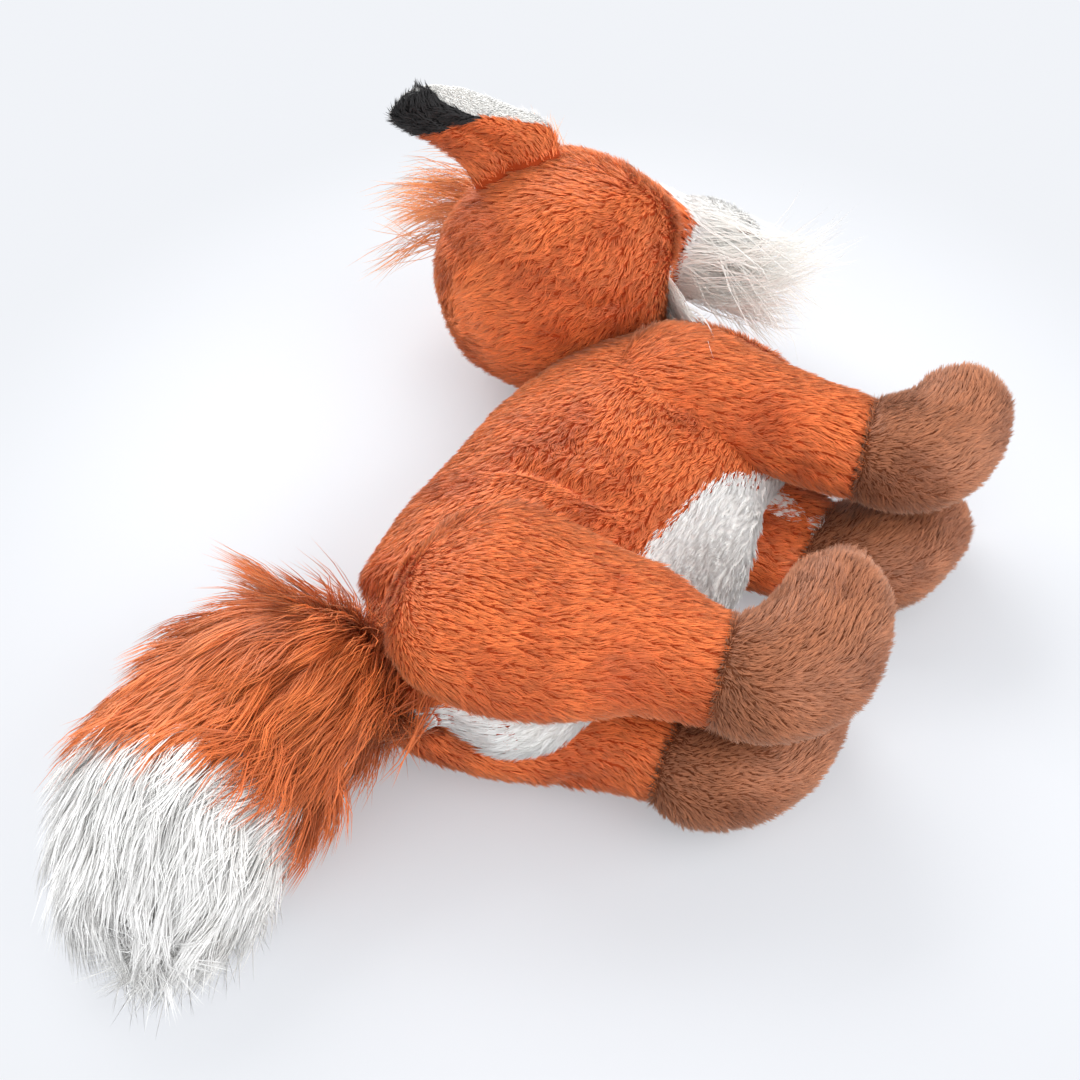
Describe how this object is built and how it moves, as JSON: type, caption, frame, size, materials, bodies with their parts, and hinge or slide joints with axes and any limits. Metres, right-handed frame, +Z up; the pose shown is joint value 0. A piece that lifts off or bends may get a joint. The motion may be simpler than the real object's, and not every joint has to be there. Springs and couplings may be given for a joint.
{
  "type": "plush fox",
  "caption": "Soft plush fox lying on its side, with sewn-on legs, ears and a bushy tail that all flex at their seams.",
  "frame": {"origin": "on the floor patch of the trunk's left flank at the waist, where the fox lies on its left side", "axes": "+X towards the feet, the fox's own down; +Y towards the head; +Z up from the floor, the fox's right side"},
  "size_m": [0.3433, 0.495, 0.158],
  "materials": {
    "orange_plush": "short cut pile about 5 mm deep",
    "white_plush": "short cut pile about 5 mm deep",
    "brown_plush": "short dense cut pile",
    "black_plush": "short cut pile",
    "long_orange_pile": "shaggy pile 30 to 60 mm long",
    "long_white_pile": "shaggy pile 30 to 60 mm long",
    "fibre_filling": "loose polyester fibre",
    "linen_pouch": "plain woven pouch",
    "black_plastic": "polished",
    "washer_plastic": "moulded"
  },
  "bodies": {
    "trunk": {"trunk_cover": "orange_plush", "belly_panel": "white_plush", "trunk_filling": "fibre_filling", "pellet_pouch": "linen_pouch"},
    "head": {"head_cover": "orange_plush", "muzzle_cover": "white_plush", "head_filling": "fibre_filling", "throat_ruff": "long_white_pile", "head_tuft": "long_orange_pile", "eye_right": "black_plastic", "eye_right_washer": "washer_plastic", "eye_left": "black_plastic", "eye_left_washer": "washer_plastic", "nose": "black_plastic", "nose_washer": "washer_plastic"},
    "ear_right": {"ear_right_back": "orange_plush", "ear_right_tip": "black_plush", "ear_right_lining": "white_plush"},
    "ear_left": {"ear_left_back": "orange_plush", "ear_left_tip": "black_plush", "ear_left_lining": "white_plush"},
    "front_leg_right": {"front_leg_right_cover": "orange_plush", "front_leg_right_foot": "brown_plush", "front_leg_right_filling": "fibre_filling"},
    "front_leg_left": {"front_leg_left_cover": "orange_plush", "front_leg_left_foot": "brown_plush", "front_leg_left_filling": "fibre_filling"},
    "hind_leg_right": {"hind_leg_right_cover": "orange_plush", "hind_leg_right_foot": "brown_plush", "hind_leg_right_filling": "fibre_filling"},
    "hind_leg_left": {"hind_leg_left_cover": "orange_plush", "hind_leg_left_foot": "brown_plush", "hind_leg_left_filling": "fibre_filling"},
    "tail": {"tail_base": "long_orange_pile", "tail_tip": "long_white_pile", "tail_filling": "fibre_filling"}
  },
  "joints": [
    {"name": "neck_turn", "type": "hinge", "parent": "trunk", "child": "head", "pos_m": [-0.031, 0.1, 0.0615], "axis": [0, 0, 1], "range_deg": [-15, 12], "stiffness_Nm_per_rad": 0.3},
    {"name": "shoulder_right_swing", "type": "hinge", "parent": "trunk", "child": "front_leg_right", "pos_m": [0.005, 0.072, 0.047], "axis": [0, 0, 1], "range_deg": [-8, 25], "stiffness_Nm_per_rad": 0.12},
    {"name": "shoulder_left_swing", "type": "hinge", "parent": "trunk", "child": "front_leg_left", "pos_m": [-0.002, 0.068, 0.047], "axis": [0, 0, 1], "range_deg": [-8, 20], "stiffness_Nm_per_rad": 0.12},
    {"name": "hip_right_swing", "type": "hinge", "parent": "trunk", "child": "hind_leg_right", "pos_m": [-0.01, -0.078, 0.052], "axis": [0, 0, 1], "range_deg": [-25, 8], "stiffness_Nm_per_rad": 0.15},
    {"name": "hip_left_swing", "type": "hinge", "parent": "trunk", "child": "hind_leg_left", "pos_m": [-0.023, -0.078, 0.052], "axis": [0, 0, 1], "range_deg": [-20, 8], "stiffness_Nm_per_rad": 0.15},
    {"name": "tail_swing", "type": "hinge", "parent": "trunk", "child": "tail", "pos_m": [-0.08, -0.114, 0.0495], "axis": [0, 0, 1], "range_deg": [-20, 20], "stiffness_Nm_per_rad": 0.12},
    {"name": "ear_right_fold", "type": "hinge", "parent": "head", "child": "ear_right", "pos_m": [-0.11175, 0.14241, 0.11908], "axis": [-0.746, -0.6275, -0.223], "range_deg": [-20, 15], "stiffness_Nm_per_rad": 0.03},
    {"name": "ear_left_fold", "type": "hinge", "parent": "head", "child": "ear_left", "pos_m": [-0.11175, 0.14241, 0.00392], "axis": [-0.746, -0.6275, 0.223], "range_deg": [-6, 20], "stiffness_Nm_per_rad": 0.03}
  ]
}
